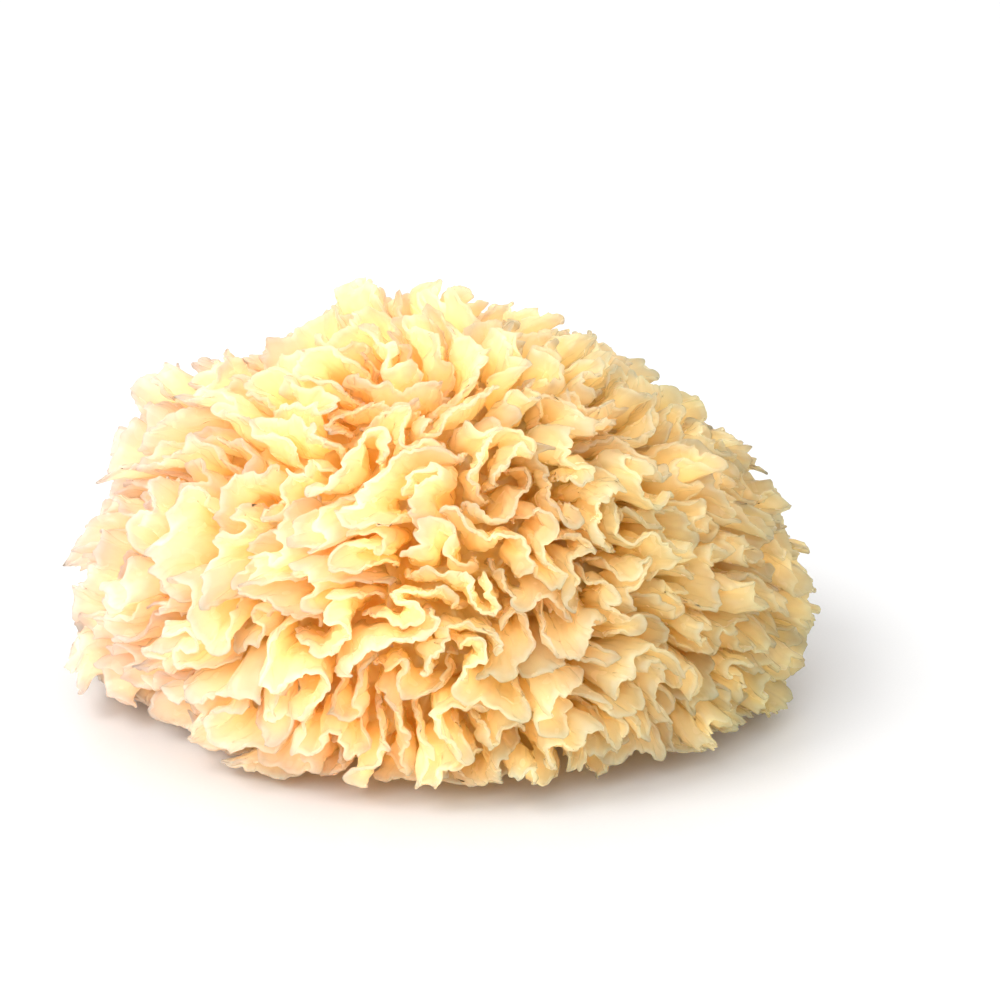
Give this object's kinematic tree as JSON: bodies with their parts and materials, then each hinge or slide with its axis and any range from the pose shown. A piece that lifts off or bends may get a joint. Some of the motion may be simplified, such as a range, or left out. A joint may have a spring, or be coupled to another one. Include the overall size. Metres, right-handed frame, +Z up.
{
  "type": "snow fungus",
  "caption": "Soaked snow fungus head: a pale yellow dome of thin ruffled gelatinous fronds, cut flat underneath where it grew.",
  "frame": {"origin": "middle of the bounding box's bottom, on the cut face that the fungus rests on", "axes": "+Z up through the crown, +X along the longer side of the dome, -Y towards the side that the picture shows"},
  "size_m": [0.1242, 0.1108, 0.0658],
  "materials": {
    "fungus": "wet translucent jelly: pale cream at the frond rims, deep amber between them"
  },
  "bodies": {
    "root": {"fruit_body": "fungus"}
  },
  "joints": []
}
